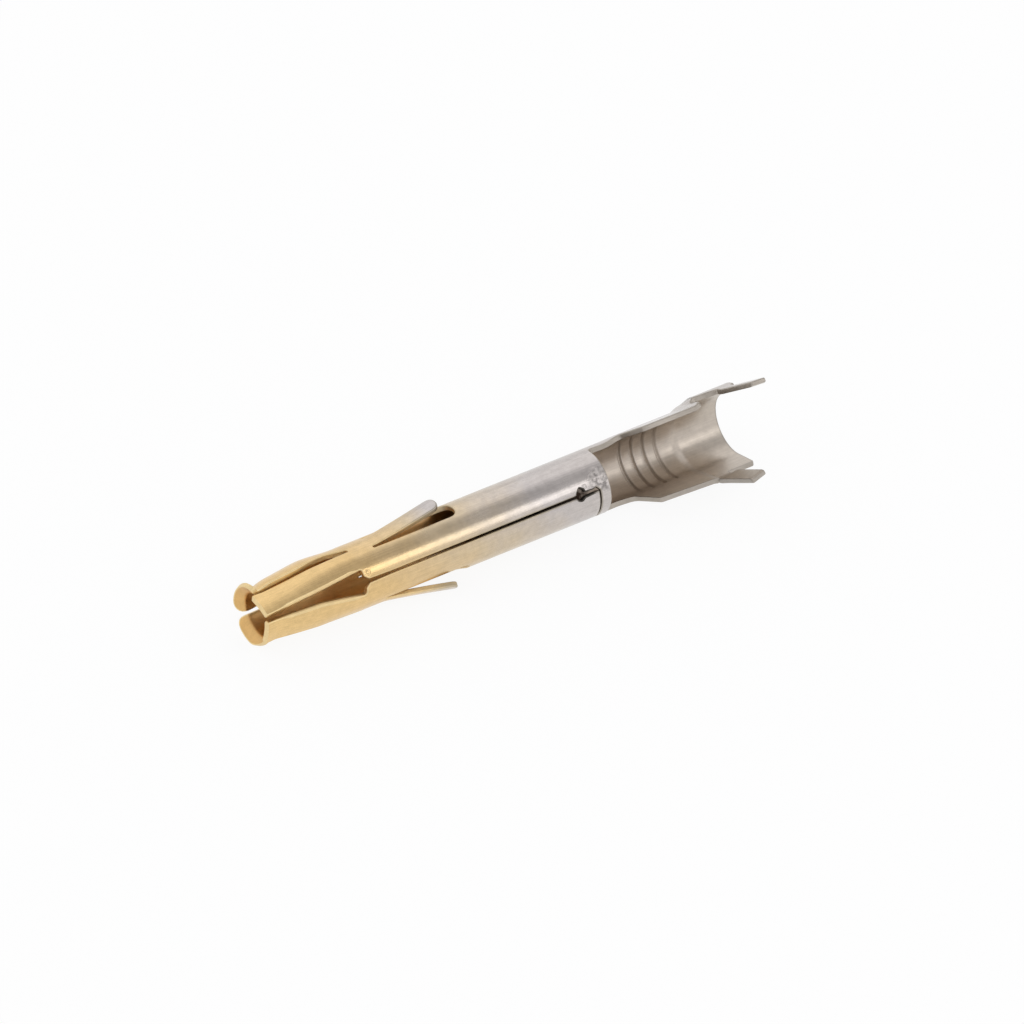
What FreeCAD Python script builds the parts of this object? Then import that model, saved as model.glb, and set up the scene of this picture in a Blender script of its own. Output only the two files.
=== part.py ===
"""Socket contact for a circular connector, stamped from one sheet and rolled.

Millimetres. Before it is laid down, the contact's axis is X, from the mouth to the
wire end, and its seam and crimp openings face +Z. The origin is on the axis, where
the four fingers grip the pin. Angles around the axis are counted from the seam,
positive towards +Y.
"""
import FreeCAD, Part
import math
import os
import Sketcher

doc = FreeCAD.newDocument("socket_contact")
sheet = doc.addObject("Spreadsheet::Sheet", "sizes")

# Driving dimensions, in millimetres and degrees
SIZES = {
    # The strip and the tube that is rolled from it
    "sheet_thick": 0.2,
    "tube_dia": 2.5,
    "tube_length": 10.9,
    "seam_gap": 0.09,
    "seam_mouth": 0.16,
    "seam_flare_length": 1.1,
    "seam_corner": 0.16,
    # Four spring fingers, two narrow ones beside the seam and two wide ones opposite
    "mouth_setback": 0.5,
    "finger_length": 4.3,
    "grip_bore": 1.6,
    "finger_bow": 0.08,
    "bow_place": 1.9,
    "bow_round": 6.0,
    "narrow_tip_dia": 2.06,
    "lip_length": 0.5,
    "lip_angle": 60.0,
    "lip_bend": 0.12,
    "lip_corner": 0.3,
    "lip_side_corner": 0.5,
    "side_slot_angle": 70.0,
    "seam_slot": 0.98,
    "side_slot": 0.16,
    "far_slot": 0.16,
    "slot_at_mouth": 0.1,
    "slot_corner": 0.06,
    "slot_bow": 0.13,
    # Retention lances, cut from the tube's wall and bent outwards
    "lance_setback": 1.0,
    "lance_length": 2.8,
    "lance_lift": 0.5,
    "lance_width": 0.8,
    "lance_side_gap": 0.05,
    "lance_end_gap": 0.9,
    "lance_angle": 74.0,
    "window_corner": 0.3,
    # The closed end of the seam: a round relief, a small notch and a wrapped tab
    "relief_dia": 0.36,
    "relief_setback": 1.3,
    "tab_length": 0.5,
    "tab_angle": 76.0,
    "tab_slit": 0.05,
    "notch_length": 0.24,
    "notch_width": 0.2,
    # The open neck between the tube and the wire barrel
    "neck_length": 1.4,
    "neck_wall": 0.16,
    "ramp_length": 0.45,
    "edge_corner": 0.12,
    # Wire barrel
    "coin_step": 0.02,
    "wire_barrel_end": 4.1,
    "wire_flare": 9.0,
    "wing_front": 1.36,
    "wing_rear": 1.48,
    "groove_first": 0.48,
    "groove_pitch": 0.5,
    "groove_width": 0.16,
    "groove_depth": 0.06,
    # Insulation barrel and its two ears
    "floor_step": 0.28,
    "wall_step": 0.17,
    "insulation_end": 6.32,
    "insulation_bore": 2.26,
    "insulation_flare": 18.0,
    "low_wall": 0.76,
    "ear_length": 0.63,
    "ear_height": 3.55,
    "ear_stagger": 1.0,
    "ear_root": 0.4,
    "ear_bend": 1.0,
    "ear_chamfer": 0.1,
    "ear_chamfer_length": 0.36,
    "near_ear_lean": 3.0,
    "far_ear_lean": 6.0,
    "barrel_twist": 7.0,
    "wing_twist": 4.5,
    # How far the contact rolls from seam-up as it comes to rest
    "rest_roll": 53.0,
}
for row, (name, value) in enumerate(SIZES.items(), start=1):
    sheet.set(f"A{row}", name)
    sheet.set(f"B{row}", str(value))
    sheet.setAlias(f"B{row}", name)
doc.recompute()

# Stations along the axis and radii, as expressions of the sheet's cells
TUBE_FRONT = "(sizes.finger_length - sizes.mouth_setback)"
TUBE_REAR = f"({TUBE_FRONT} + sizes.tube_length)"
NECK_REAR = f"({TUBE_REAR} + sizes.neck_length)"
WIRE_FRONT = f"({NECK_REAR} + sizes.ramp_length)"
WIRE_REAR = f"({TUBE_REAR} + sizes.wire_barrel_end)"
WING_REAR = f"({WIRE_REAR} + sizes.floor_step)"
INSULATION_FRONT = f"({WING_REAR} + sizes.wall_step)"
INSULATION_REAR = f"({TUBE_REAR} + sizes.insulation_end)"
LANCE_ROOT = f"({TUBE_FRONT} + sizes.lance_setback)"
LANCE_TIP = f"({LANCE_ROOT} + sizes.lance_length)"
TUBE_OUTER = "(sizes.tube_dia / 2)"
TUBE_INNER = "(sizes.tube_dia / 2 - sizes.sheet_thick)"
GRIP_INNER = "(sizes.grip_bore / 2)"
GRIP_OUTER = "(sizes.grip_bore / 2 + sizes.sheet_thick)"
WIRE_INNER = f"({TUBE_INNER} + sizes.coin_step)"
WIRE_OUTER = f"({TUBE_OUTER} + sizes.coin_step)"
INSULATION_INNER = "(sizes.insulation_bore / 2)"
INSULATION_OUTER = "(sizes.insulation_bore / 2 + sizes.sheet_thick)"
BLANK_HEIGHT = "(sizes.wing_rear + sizes.sheet_thick)"
CLEAR = "sizes.sheet_thick"

ORIGIN_POINT, H_AXIS, V_AXIS = -1, -1, -2
START, END, CENTRE = 1, 2, 3

body = doc.addObject("PartDesign::Body", "socket_contact")
body.Label = "socket_contact"


def value_of(expression):
    """The number that an expression of the sheet's cells stands for."""
    return float(sheet.evalExpression(expression))


def origin_plane(role):
    """One of the body's own origin planes."""
    return next(item for item in body.Origin.OriginFeatures if item.Role == role)


def add_sketch(name, plane, offset_expression, turn_axis, turn_expression):
    """A sketch on an origin plane, moved along its normal and turned about an axis of it."""
    sketch = body.newObject("Sketcher::SketchObject", name)
    sketch.AttachmentSupport = [(origin_plane(plane), "")]
    sketch.MapMode = "FlatFace"
    sketch.AttachmentOffset = FreeCAD.Placement(
        FreeCAD.Vector(0, 0, value_of(offset_expression)),
        FreeCAD.Rotation(turn_axis, value_of(turn_expression)),
    )
    sketch.setExpression("AttachmentOffset.Base.z", offset_expression)
    sketch.setExpression("AttachmentOffset.Rotation.Angle", turn_expression)
    return sketch


def cross_section(name, station, turn="0"):
    """A sketch across the axis at a station: its x is Y and its y is Z, before the turn."""
    return add_sketch(name, "YZ_Plane", station, FreeCAD.Vector(0, 0, 1), turn)


def wall_view(name, angle="0"):
    """A sketch through the axis that faces the wall at an angle from the seam."""
    return add_sketch(name, "XY_Plane", "0", FreeCAD.Vector(1, 0, 0), f"-({angle})")


def side_view(name):
    """A sketch in the plane of the axis and the openings, seen from the side."""
    return add_sketch(name, "XZ_Plane", "0", FreeCAD.Vector(0, 0, 1), "0")


def bind(sketch, kind, *arguments, expression):
    """A constraint whose value follows an expression of the sheet's cells."""
    number = value_of(expression)
    if kind == "Angle":
        number = math.radians(number)
    index = sketch.addConstraint(Sketcher.Constraint(kind, *arguments, number))
    sketch.setExpression(f"Constraints[{index}]", expression)


def add_outline(sketch, points):
    """A closed outline through points given as pairs of expressions, or as triples with
    the radius of a rounded corner."""
    places = [FreeCAD.Vector(value_of(point[0]), value_of(point[1]), 0) for point in points]
    following = places[1:] + places[:1]
    edges = [
        sketch.addGeometry(Part.LineSegment(here, there), False)
        for here, there in zip(places, following)
    ]
    for edge, after in zip(edges, edges[1:] + edges[:1]):
        sketch.addConstraint(Sketcher.Constraint("Coincident", edge, END, after, START))
    for edge, point in zip(edges, points):
        bind(sketch, "DistanceX", ORIGIN_POINT, START, edge, START, expression=point[0])
        bind(sketch, "DistanceY", ORIGIN_POINT, START, edge, START, expression=point[1])
    for edge, before, point in zip(edges, edges[-1:] + edges[:-1], points):
        if len(point) == 3:
            round_corner(sketch, before, edge, point[2])


def round_corner(sketch, before, edge, radius):
    """An arc in place of the corner between two edges, which keeps the corner's place."""
    line_before = sketch.Geometry[before]
    line_after = sketch.Geometry[edge]
    middle_before = (line_before.StartPoint + line_before.EndPoint) / 2
    middle_after = (line_after.StartPoint + line_after.EndPoint) / 2
    sketch.fillet(before, edge, middle_before, middle_after, value_of(radius), True, True)
    arc = max(
        index for index, shape in enumerate(sketch.Geometry)
        if shape.TypeId == "Part::GeomArcOfCircle"
    )
    bind(sketch, "Radius", arc, expression=radius)


def add_sector(sketch, inner, outer, start, stop, lift=None):
    """A strip of the wall, between two angles from the seam, its centre lifted along y."""
    height = value_of(lift) if lift else 0.0
    centre = FreeCAD.Vector(0, height, 0)
    low = math.radians(90 - value_of(stop))
    high = math.radians(90 - value_of(start))
    rings = []
    for radius in (inner, outer):
        circle = Part.Circle(centre, FreeCAD.Vector(0, 0, 1), value_of(radius))
        ring = sketch.addGeometry(Part.ArcOfCircle(circle, low, high), False)
        bind(sketch, "Radius", ring, expression=radius)
        rings.append(ring)
    for end, angle, bound in ((START, low, stop), (END, high, start)):
        direction = FreeCAD.Vector(math.cos(angle), math.sin(angle), 0)
        edge = sketch.addGeometry(
            Part.LineSegment(
                centre + direction * value_of(inner),
                centre + direction * value_of(outer),
            ),
            False,
        )
        sketch.addConstraint(Sketcher.Constraint("Coincident", edge, START, rings[0], end))
        sketch.addConstraint(Sketcher.Constraint("Coincident", edge, END, rings[1], end))
        sketch.addConstraint(Sketcher.Constraint("PointOnObject", rings[0], CENTRE, edge))
        bind(sketch, "Angle", edge, expression=f"90 - {bound}")
    if lift:
        sketch.addConstraint(Sketcher.Constraint("PointOnObject", rings[0], CENTRE, V_AXIS))
        bind(sketch, "DistanceY", ORIGIN_POINT, START, rings[0], CENTRE, expression=lift)
    else:
        sketch.addConstraint(
            Sketcher.Constraint("Coincident", rings[0], CENTRE, ORIGIN_POINT, START)
        )
    sketch.addConstraint(
        Sketcher.Constraint("Coincident", rings[0], CENTRE, rings[1], CENTRE)
    )


def add_channel(sketch, inner, outer, flare, top):
    """An open channel: a half round floor whose walls run on, straight and flared."""
    lean = math.radians(value_of(flare))
    height = value_of(top)
    arcs = []
    walls = []
    for radius_expression in (inner, outer):
        radius = value_of(radius_expression)
        circle = Part.Circle(FreeCAD.Vector(0, 0, 0), FreeCAD.Vector(0, 0, 1), radius)
        arc = sketch.addGeometry(Part.ArcOfCircle(circle, math.pi + lean, 2 * math.pi - lean), False)
        sketch.addConstraint(Sketcher.Constraint("Coincident", arc, CENTRE, ORIGIN_POINT, START))
        bind(sketch, "Radius", arc, expression=radius_expression)
        reach = (radius + height * math.sin(lean)) / math.cos(lean)
        for side, end, angle in ((-1, START, "90 + "), (1, END, "90 - ")):
            foot = FreeCAD.Vector(side * radius * math.cos(lean), -radius * math.sin(lean), 0)
            crest = FreeCAD.Vector(side * reach, height, 0)
            wall = sketch.addGeometry(Part.LineSegment(foot, crest), False)
            sketch.addConstraint(Sketcher.Constraint("Tangent", wall, START, arc, end))
            bind(sketch, "Angle", wall, expression=f"{angle}{flare}")
            bind(sketch, "DistanceY", ORIGIN_POINT, START, wall, END, expression=top)
            walls.append(wall)
        arcs.append(arc)
    for inside, outside in ((walls[0], walls[2]), (walls[1], walls[3])):
        crest = sketch.addGeometry(
            Part.LineSegment(
                sketch.Geometry[inside].EndPoint,
                sketch.Geometry[outside].EndPoint,
            ),
            False,
        )
        sketch.addConstraint(Sketcher.Constraint("Coincident", crest, START, inside, END))
        sketch.addConstraint(Sketcher.Constraint("Coincident", crest, END, outside, END))


def pad(name, sketch, length):
    """Material from a sketch, along its normal."""
    feature = body.newObject("PartDesign::Pad", name)
    feature.Profile = sketch
    feature.Length = value_of(length)
    feature.setExpression("Length", length)
    return feature


def loft(name, sections, straight):
    """Material through a row of cross sections, straight or smooth between them."""
    feature = body.newObject("PartDesign::AdditiveLoft", name)
    feature.Profile = sections[0]
    feature.Sections = [(section, [""]) for section in sections[1:]]
    feature.Ruled = straight
    return feature


def pocket(name, sketch, length, outward=True, both=False):
    """A cut from a sketch: outwards along its normal, or to both sides of it."""
    feature = body.newObject("PartDesign::Pocket", name)
    feature.Profile = sketch
    feature.Length = value_of(length)
    feature.setExpression("Length", length)
    feature.Reversed = outward
    feature.Midplane = both
    return feature


def turned(kind, name, sketch, angle, both=False):
    """Material or a cut that is turned about the contact's axis."""
    feature = body.newObject(f"PartDesign::{kind}", name)
    feature.Profile = sketch
    feature.ReferenceAxis = (sketch, ["H_Axis"])
    feature.Angle = value_of(angle)
    feature.setExpression("Angle", angle)
    feature.Midplane = both
    return feature


# Rolled tube and the first stretch of the neck, one round section
tube_section = cross_section("tube_section", TUBE_FRONT)
for ring_name, radius in (("inside", TUBE_INNER), ("outside", TUBE_OUTER)):
    ring = tube_section.addGeometry(
        Part.Circle(FreeCAD.Vector(0, 0, 0), FreeCAD.Vector(0, 0, 1), value_of(radius)), False
    )
    tube_section.addConstraint(
        Sketcher.Constraint("Coincident", ring, CENTRE, ORIGIN_POINT, START)
    )
    bind(tube_section, "Radius", ring, expression=radius)
pad("tube", tube_section, "sizes.tube_length + sizes.neck_length")

# Crimp barrels, one channel that opens from the neck to the wire end
crimp_sections = []
WIRE = (WIRE_INNER, WIRE_OUTER, "sizes.wire_flare")
STEP = (INSULATION_INNER, INSULATION_OUTER, "sizes.wire_flare")
INSULATION = (INSULATION_INNER, INSULATION_OUTER, "sizes.insulation_flare")
for section_name, station, shape, twist in (
    ("neck_rear", NECK_REAR, WIRE, "-sizes.wing_twist"),
    ("wire_rear", WIRE_REAR, WIRE, "-sizes.wing_twist"),
    ("wing_rear", WING_REAR, STEP, "-sizes.wing_twist"),
    ("insulation_front", INSULATION_FRONT, INSULATION, "-sizes.barrel_twist"),
    ("insulation_rear", INSULATION_REAR, INSULATION, "-sizes.barrel_twist"),
):
    section = cross_section(section_name, station, twist)
    add_channel(section, *shape, BLANK_HEIGHT)
    crimp_sections.append(section)
loft("crimp_barrels", crimp_sections, straight=True)

# Edge of the strip along the neck, the ramp, the wings and the low walls
edge_view = side_view("strip_edge")
add_outline(edge_view, [
    (TUBE_REAR, "sizes.tube_dia"),
    (TUBE_REAR, "sizes.neck_wall"),
    (NECK_REAR, "sizes.neck_wall", "sizes.edge_corner * 2"),
    (WIRE_FRONT, "sizes.wing_front", "sizes.edge_corner"),
    (WING_REAR, "sizes.wing_rear", "sizes.edge_corner"),
    (WING_REAR, "sizes.low_wall", "sizes.edge_corner"),
    (f"{INSULATION_REAR} + {CLEAR}", "sizes.low_wall"),
    (f"{INSULATION_REAR} + {CLEAR}", "sizes.tube_dia"),
])
pocket("trim_edge", edge_view, "4 * sizes.tube_dia", both=True)

# Grooves pressed across the floor of the wire barrel
groove_view = side_view("groove_sections")
for number in range(4):
    middle = f"{NECK_REAR} + sizes.groove_first + {number} * sizes.groove_pitch"
    add_outline(groove_view, [
        (f"{middle} - sizes.groove_width / 2", f"-{WIRE_INNER} + sizes.groove_depth"),
        (f"{middle} + sizes.groove_width / 2", f"-{WIRE_INNER} + sizes.groove_depth"),
        (f"{middle} + sizes.groove_width / 4", f"-{WIRE_INNER} - sizes.groove_depth"),
        (f"{middle} - sizes.groove_width / 4", f"-{WIRE_INNER} - sizes.groove_depth"),
    ])
turned("Groove", "floor_grooves", groove_view, "180 - 2 * sizes.wire_flare", both=True)


def wall_reach(radius, height):
    """How far the insulation barrel's flared wall stands from the middle at a height."""
    flare = "sizes.insulation_flare * 1 deg"
    return f"(({radius} + {height} * sin({flare})) / cos({flare}))"


# Two ears that stand on the low walls, one behind the other
for ear_name, side, lean, setback in (
    ("near_ear", -1, "sizes.near_ear_lean", "0"),
    ("far_ear", 1, "sizes.far_ear_lean", "sizes.ear_stagger"),
):
    ear_section = cross_section(
        f"{ear_name}_section", f"{INSULATION_FRONT} + {setback}", "-sizes.barrel_twist"
    )
    sign = "-" if side < 0 else ""
    run_out = f"(sizes.ear_height - sizes.ear_root) * tan({lean} * 1 deg)"
    inner_root = wall_reach(INSULATION_INNER, "sizes.ear_root")
    outer_root = wall_reach(INSULATION_OUTER, "sizes.ear_root")
    add_outline(ear_section, [
        (f"{sign}{wall_reach(INSULATION_INNER, '0')}", "0"),
        (f"{sign}{wall_reach(INSULATION_OUTER, '0')}", "0"),
        (f"{sign}{outer_root}", "sizes.ear_root", "sizes.ear_bend"),
        (f"{sign}({outer_root} + {run_out})", "sizes.ear_height"),
        (f"{sign}({inner_root} + {run_out} + sizes.ear_chamfer)", "sizes.ear_height"),
        (f"{sign}({inner_root} + {run_out})", "sizes.ear_height - sizes.ear_chamfer_length"),
        (f"{sign}{inner_root}", "sizes.ear_root", "sizes.ear_bend"),
    ])
    pad(ear_name, ear_section, "sizes.ear_length")

# Narrow spring fingers: the wall beside the seam bows in to the grip and opens a little
MOUTH = "(-sizes.mouth_setback)"
BOW_SHARE = f"(sizes.bow_place / {TUBE_FRONT})"
BOW_INNER = f"({GRIP_INNER} + ({TUBE_INNER} - {GRIP_INNER}) * {BOW_SHARE} + sizes.finger_bow)"
BOW_OUTER = f"({BOW_INNER} + sizes.sheet_thick)"
NARROW_TIP = "(sizes.narrow_tip_dia / 2)"
narrow_profile = side_view("narrow_finger_profile")
add_outline(narrow_profile, [
    (TUBE_FRONT, TUBE_INNER),
    ("sizes.bow_place", BOW_INNER, "sizes.bow_round"),
    ("0", GRIP_INNER),
    (MOUTH, f"({NARROW_TIP} - sizes.sheet_thick)"),
    (MOUTH, NARROW_TIP),
    ("0", GRIP_OUTER),
    ("sizes.bow_place", BOW_OUTER, "(sizes.bow_round + sizes.sheet_thick)"),
    (TUBE_FRONT, TUBE_OUTER),
])
turned("Revolution", "narrow_fingers", narrow_profile, "2 * sizes.side_slot_angle", both=True)

# Wide spring fingers: the same taper, and a lip that is rolled out at the mouth
LIP_CORNER = f"({MOUTH} + sizes.lip_length * cos(sizes.lip_angle * 1 deg))"
LIP_RISE = "(sizes.lip_length * sin(sizes.lip_angle * 1 deg))"
wide_profile = side_view("wide_finger_profile")
add_outline(wide_profile, [
    (TUBE_FRONT, f"-{TUBE_INNER}"),
    ("sizes.bow_place", f"-{BOW_INNER}", "sizes.bow_round"),
    ("0", f"-{GRIP_INNER}"),
    (LIP_CORNER, f"-{GRIP_INNER}", "(sizes.lip_bend + sizes.sheet_thick)"),
    (MOUTH, f"-({GRIP_INNER} + {LIP_RISE})"),
    (f"({MOUTH} + sizes.sheet_thick * sin(sizes.lip_angle * 1 deg))",
     f"-({GRIP_INNER} + {LIP_RISE} + sizes.sheet_thick * cos(sizes.lip_angle * 1 deg))"),
    (f"({LIP_CORNER} + sizes.sheet_thick * tan(sizes.lip_angle / 2 * 1 deg))",
     f"-{GRIP_OUTER}", "sizes.lip_bend"),
    ("0", f"-{GRIP_OUTER}"),
    ("sizes.bow_place", f"-{BOW_OUTER}", "(sizes.bow_round + sizes.sheet_thick)"),
    (TUBE_FRONT, f"-{TUBE_OUTER}"),
])
turned("Revolution", "wide_fingers", wide_profile, "360 - 2 * sizes.side_slot_angle", both=True)

# Slots between the fingers, with the lips' corners taken off where they meet a slot
HALF_MOUTH = "(sizes.slot_at_mouth / 2)"
SLOT_END = f"({MOUTH} - {CLEAR})"
LIP_CUT = f"({MOUTH} - {CLEAR} / 8)"
NO_LIP = "0"
for slot_name, angle, width, low_corner, high_corner in (
    ("seam_slot", "0", "sizes.seam_slot", NO_LIP, NO_LIP),
    ("far_side_slot", "sizes.side_slot_angle", "sizes.side_slot", NO_LIP, "sizes.lip_side_corner"),
    ("near_side_slot", "-sizes.side_slot_angle", "sizes.side_slot", "sizes.lip_side_corner", NO_LIP),
    ("far_slot", "180", "sizes.far_slot", "sizes.lip_corner", "sizes.lip_corner"),
):
    slot_view = wall_view(f"{slot_name}_outline", angle)
    sides = []
    for sign, corner in (("", high_corner), ("-", low_corner)):
        side = [(TUBE_FRONT, f"{sign}{width} / 2", "sizes.slot_corner")]
        if slot_name == "seam_slot" and sign == "-":
            bow = f"({width} + sizes.slot_at_mouth) / 4 - sizes.slot_bow"
            side.append(("sizes.bow_place", f"-({bow})", "sizes.bow_round"))
        if corner == NO_LIP:
            side.append((SLOT_END, f"{sign}{HALF_MOUTH}"))
        else:
            side.append((LIP_CUT, f"{sign}{HALF_MOUTH}", corner))
            side.append((LIP_CUT, f"{sign}({HALF_MOUTH} + {corner} + {CLEAR})"))
            side.append((SLOT_END, f"{sign}({HALF_MOUTH} + {corner} + {CLEAR})"))
        sides.append(side)
    high_side, low_side = sides
    add_outline(slot_view, high_side + low_side[::-1])
    pocket(slot_name, slot_view, "sizes.tube_dia")

# Windows in the tube's wall, each with its lance standing out of it
WINDOW_HALF = "(sizes.lance_width / 2 + sizes.lance_side_gap)"
WINDOW_END = f"({LANCE_TIP} + sizes.lance_end_gap)"
LANCE_HALF_ANGLE = f"(asin(sizes.lance_width / 2 / {TUBE_OUTER}) / 1 deg)"
for lance_name, angle in (
    ("far_lance", "sizes.lance_angle"),
    ("near_lance", "-sizes.lance_angle"),
    ("back_lance", "180"),
):
    window_view = wall_view(f"{lance_name}_window_outline", angle)
    add_outline(window_view, [
        (LANCE_ROOT, f"-{WINDOW_HALF}"),
        (WINDOW_END, f"-{WINDOW_HALF}", "sizes.window_corner"),
        (WINDOW_END, WINDOW_HALF, "sizes.window_corner"),
        (LANCE_ROOT, WINDOW_HALF),
    ])
    pocket(f"{lance_name}_window", window_view, "sizes.tube_dia")
    root = cross_section(f"{lance_name}_root", LANCE_ROOT, f"-({angle})")
    add_sector(root, TUBE_INNER, TUBE_OUTER, f"-{LANCE_HALF_ANGLE}", LANCE_HALF_ANGLE)
    tip = cross_section(f"{lance_name}_tip", LANCE_TIP, f"-({angle})")
    add_sector(tip, TUBE_INNER, TUBE_OUTER, f"-{LANCE_HALF_ANGLE}", LANCE_HALF_ANGLE,
               lift="sizes.lance_lift")
    loft(lance_name, [root, tip], straight=True)

# Seam, with its two front corners opened out
seam_view = wall_view("seam_outline")
add_outline(seam_view, [
    (f"{TUBE_FRONT} - {CLEAR}", f"(sizes.seam_mouth / 2 + sizes.seam_corner + {CLEAR})"),
    (TUBE_FRONT, "(sizes.seam_mouth / 2 + sizes.seam_corner)"),
    (f"{TUBE_FRONT} + sizes.seam_corner", "sizes.seam_mouth / 2", "sizes.seam_corner"),
    (f"{TUBE_FRONT} + sizes.seam_flare_length", "sizes.seam_gap / 2"),
    (f"{TUBE_REAR} - sizes.tab_length", "sizes.seam_gap / 2"),
    (f"{TUBE_REAR} - sizes.tab_length", "-sizes.seam_gap / 2"),
    (f"{TUBE_FRONT} + sizes.seam_flare_length", "-sizes.seam_gap / 2"),
    (f"{TUBE_FRONT} + sizes.seam_corner", "-sizes.seam_mouth / 2", "sizes.seam_corner"),
    (TUBE_FRONT, "-(sizes.seam_mouth / 2 + sizes.seam_corner)"),
    (f"{TUBE_FRONT} - {CLEAR}", f"-(sizes.seam_mouth / 2 + sizes.seam_corner + {CLEAR})"),
])
pocket("seam", seam_view, "sizes.tube_dia")

# Round relief and a three-cornered notch where the seam ends
relief_view = wall_view("relief_outline")
relief = relief_view.addGeometry(
    Part.Circle(
        FreeCAD.Vector(value_of(f"{TUBE_REAR} - sizes.relief_setback"), 0, 0),
        FreeCAD.Vector(0, 0, 1),
        value_of("sizes.relief_dia / 2"),
    ),
    False,
)
relief_view.addConstraint(Sketcher.Constraint("PointOnObject", relief, CENTRE, H_AXIS))
bind(relief_view, "Radius", relief, expression="sizes.relief_dia / 2")
bind(relief_view, "DistanceX", ORIGIN_POINT, START, relief, CENTRE,
     expression=f"{TUBE_REAR} - sizes.relief_setback")
pocket("seam_relief", relief_view, "sizes.tube_dia")

notch_view = wall_view("notch_outline")
add_outline(notch_view, [
    (f"{TUBE_REAR} - sizes.tab_length - sizes.notch_length", "0"),
    (f"{TUBE_REAR} - sizes.tab_length", "-sizes.notch_width / 4"),
    (f"{TUBE_REAR} - sizes.tab_length", "sizes.notch_width * 3 / 4"),
])
pocket("seam_notch", notch_view, "sizes.tube_dia")

# Slit that frees the wrapped tab from the edge that it covers
slit_view = side_view("tab_slit_section")
add_outline(slit_view, [
    (f"{TUBE_REAR} - sizes.tab_length", f"{TUBE_INNER} - {CLEAR}"),
    (f"{TUBE_REAR} - sizes.tab_length + sizes.tab_slit", f"{TUBE_INNER} - {CLEAR}"),
    (f"{TUBE_REAR} - sizes.tab_length + sizes.tab_slit", f"{TUBE_OUTER} + {CLEAR}"),
    (f"{TUBE_REAR} - sizes.tab_length", f"{TUBE_OUTER} + {CLEAR}"),
])
turned("Groove", "tab_slit", slit_view, "sizes.tab_angle")

tab_end_view = wall_view("tab_end_outline", "-sizes.tab_angle")
add_outline(tab_end_view, [
    (f"{TUBE_REAR} - sizes.tab_length + sizes.tab_slit / 2", "-sizes.tab_slit / 2"),
    (f"{TUBE_REAR} + {CLEAR}", "-sizes.tab_slit / 2"),
    (f"{TUBE_REAR} + {CLEAR}", "sizes.tab_slit / 2"),
    (f"{TUBE_REAR} - sizes.tab_length + sizes.tab_slit / 2", "sizes.tab_slit / 2"),
])
pocket("tab_end", tab_end_view, "sizes.tube_dia")

# The contact lies on its side, as it comes to rest
body.Placement = FreeCAD.Placement(
    FreeCAD.Vector(0, 0, 0),
    FreeCAD.Rotation(FreeCAD.Vector(1, 0, 0), value_of("sizes.rest_roll")),
)
body.setExpression("Placement.Rotation.Angle", "sizes.rest_roll")

doc.recompute()
for item in doc.Objects:
    if "Invalid" in item.State or "Error" in item.State:
        raise RuntimeError(f"{item.Name} did not build: {item.State}")
if body.Shape.isNull() or not body.Shape.isValid():
    raise RuntimeError("socket_contact has no valid shape")
if len(body.Shape.Solids) != 1:
    raise RuntimeError(f"socket_contact is {len(body.Shape.Solids)} solids, not one")

os.makedirs("parts", exist_ok=True)
body.Shape.exportStep(f"parts/{body.Label}.step")
box = body.Shape.BoundBox
print(f"socket_contact: {body.Shape.Volume:.4f} mm3,"
      f" {box.XLength:.2f} x {box.YLength:.2f} x {box.ZLength:.2f} mm")
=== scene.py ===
"""Looks of a stamped and rolled socket contact, plated gold at the mating end."""

import math

import bpy
import numpy as np
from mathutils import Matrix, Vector
from mathutils.geometry import delaunay_2d_cdt
from mathutils.kdtree import KDTree


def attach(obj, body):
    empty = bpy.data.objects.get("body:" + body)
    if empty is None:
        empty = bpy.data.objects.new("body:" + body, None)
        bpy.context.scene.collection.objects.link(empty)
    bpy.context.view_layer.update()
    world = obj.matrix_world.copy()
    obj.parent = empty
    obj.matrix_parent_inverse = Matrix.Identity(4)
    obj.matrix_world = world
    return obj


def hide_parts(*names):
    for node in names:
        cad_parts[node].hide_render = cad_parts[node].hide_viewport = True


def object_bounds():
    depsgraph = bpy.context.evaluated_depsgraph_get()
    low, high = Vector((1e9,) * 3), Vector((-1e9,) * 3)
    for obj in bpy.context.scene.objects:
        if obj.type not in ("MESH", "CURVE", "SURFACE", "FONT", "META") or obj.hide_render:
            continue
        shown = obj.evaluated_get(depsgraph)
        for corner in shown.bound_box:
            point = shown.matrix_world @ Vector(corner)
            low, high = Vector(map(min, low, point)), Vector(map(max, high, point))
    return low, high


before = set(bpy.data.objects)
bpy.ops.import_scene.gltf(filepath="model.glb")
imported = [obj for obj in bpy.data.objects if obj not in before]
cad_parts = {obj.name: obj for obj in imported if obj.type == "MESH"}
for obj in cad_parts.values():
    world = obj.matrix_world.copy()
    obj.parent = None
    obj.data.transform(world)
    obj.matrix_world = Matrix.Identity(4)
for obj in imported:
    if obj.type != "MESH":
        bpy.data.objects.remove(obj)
cad_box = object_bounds()
MM = 0.001

# Camera. It looks down on the contact from the mouth's side, from far off, so that the
# long tube hardly narrows. The contact's roll and the photograph's slant set its frame.
rest_roll = math.radians(53.0)
seam_below_sight = math.radians(16.4)
view_turn = math.radians(27.0)
picture_slant = math.radians(21.9)
pixels_per_mm = 27.08
camera_distance = 1500.0
image_width = 1024.0

photo_roll = rest_roll - seam_below_sight
axis = Vector((1.0, 0.0, 0.0))
side_up = Vector((0.0, math.cos(photo_roll), math.sin(photo_roll)))
side_out = Vector((0.0, -math.sin(photo_roll), math.cos(photo_roll)))
towards_camera = math.cos(view_turn) * side_out - math.sin(view_turn) * axis
along_tube = (axis + math.sin(view_turn) * towards_camera) / math.cos(view_turn)
camera_right = math.cos(picture_slant) * along_tube - math.sin(picture_slant) * side_up
camera_up = math.sin(picture_slant) * along_tube + math.cos(picture_slant) * side_up

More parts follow.
